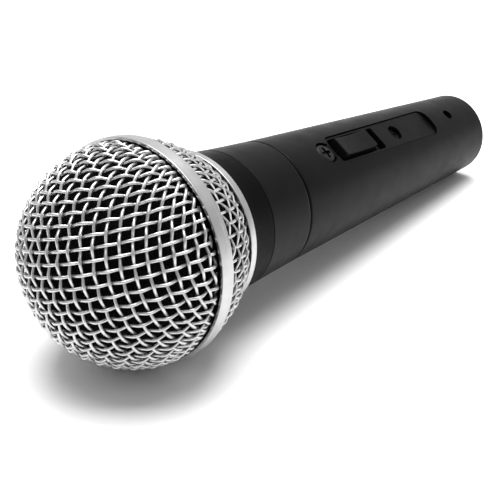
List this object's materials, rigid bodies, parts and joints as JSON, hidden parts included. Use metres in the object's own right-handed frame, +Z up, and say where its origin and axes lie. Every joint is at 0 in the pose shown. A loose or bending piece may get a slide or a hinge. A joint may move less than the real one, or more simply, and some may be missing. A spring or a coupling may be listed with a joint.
{
  "type": "dynamic microphone",
  "caption": "Handheld dynamic vocal microphone: woven ball grille with a metal band, tapered handle with a sliding switch, and a pin connector in the tail.",
  "frame": {"origin": "on the table, under the middle of the microphone's bounding box", "axes": "+X along the table from the ball towards the tail, +Z up; the microphone lies on its side, and the switch faces up and towards -Y"},
  "size_m": [0.1628, 0.0512, 0.0513],
  "materials": {
    "mesh_wire": "satin silver wire",
    "satin_metal": "satin",
    "steel": "machined",
    "dark_steel": "blackened",
    "enamel": "charcoal satin enamel",
    "label": "dark satin enamel",
    "black_plastic": "moulded",
    "button_plastic": "moulded",
    "foam": "open-cell foam",
    "rubber": "moulded rubber",
    "film": "thin film",
    "copper": "enamelled copper wire",
    "brass": "plated brass",
    "board": "circuit board",
    "red_wire": "insulated lead",
    "blue_wire": "insulated lead"
  },
  "bodies": {
    "handle_assembly": {"collar_shell": "enamel", "label_band": "label", "shock_mount": "rubber", "handle": "enamel", "switch_plate": "enamel", "switch_front_screw": "dark_steel", "switch_rear_screw": "dark_steel", "switch_case": "black_plastic", "switch_terminal_1": "brass", "switch_terminal_2": "brass", "transformer_core": "steel", "transformer_coil": "copper", "cartridge_lead_1": "blue_wire", "cartridge_lead_2": "red_wire", "output_lead_1": "blue_wire", "output_lead_2": "red_wire", "output_lead_3": "red_wire", "xlr_insert": "black_plastic", "xlr_pin_1": "brass", "xlr_pin_2": "brass", "xlr_pin_3": "brass", "earth_washer": "brass", "xlr_set_screw": "dark_steel"},
    "windscreen": {"foam_windscreen": "foam"},
    "grille": {"grille_dome": "mesh_wire", "grille_band": "satin_metal", "grille_bowl": "mesh_wire", "grille_base_ring": "satin_metal"},
    "cartridge": {"cartridge_front_screen": "steel", "resonator_cap": "black_plastic", "pole_piece": "steel", "magnet": "dark_steel", "yoke_cup": "steel", "cartridge_housing": "black_plastic", "rear_chamber": "black_plastic", "terminal_board": "board"},
    "moving_coil": {"diaphragm": "film", "voice_coil": "copper"},
    "switch_slider": {"switch_button": "button_plastic", "switch_carrier": "brass"}
  },
  "joints": [
    {"name": "grille_travel", "type": "slide", "parent": "handle_assembly", "child": "windscreen", "axis": [-0.9945, 0, 0.1047], "range_m": [0, 0.0056]},
    {"name": "grille_unscrew", "type": "hinge", "parent": "windscreen", "child": "grille", "pos_m": [-0.04067, 0, 0.02413], "axis": [-0.9945, 0, 0.1047], "range_deg": [0, 1441]},
    {"name": "cartridge_float", "type": "slide", "parent": "handle_assembly", "child": "cartridge", "axis": [0.9945, 0, -0.1047], "range_m": [-0.0008, 0.0008], "stiffness_N_per_m": 6000},
    {"name": "diaphragm_travel", "type": "slide", "parent": "cartridge", "child": "moving_coil", "axis": [0.9945, 0, -0.1047], "range_m": [-0.00025, 0.00025], "stiffness_N_per_m": 2000},
    {"name": "switch_slide", "type": "slide", "parent": "handle_assembly", "child": "switch_slider", "axis": [0.9893, 0.0254, -0.1435], "range_m": [0, 0.004]}
  ],
  "couplings": [
    {"joint": "grille_unscrew", "follows": "grille_travel", "rad_per_m": 4488}
  ]
}
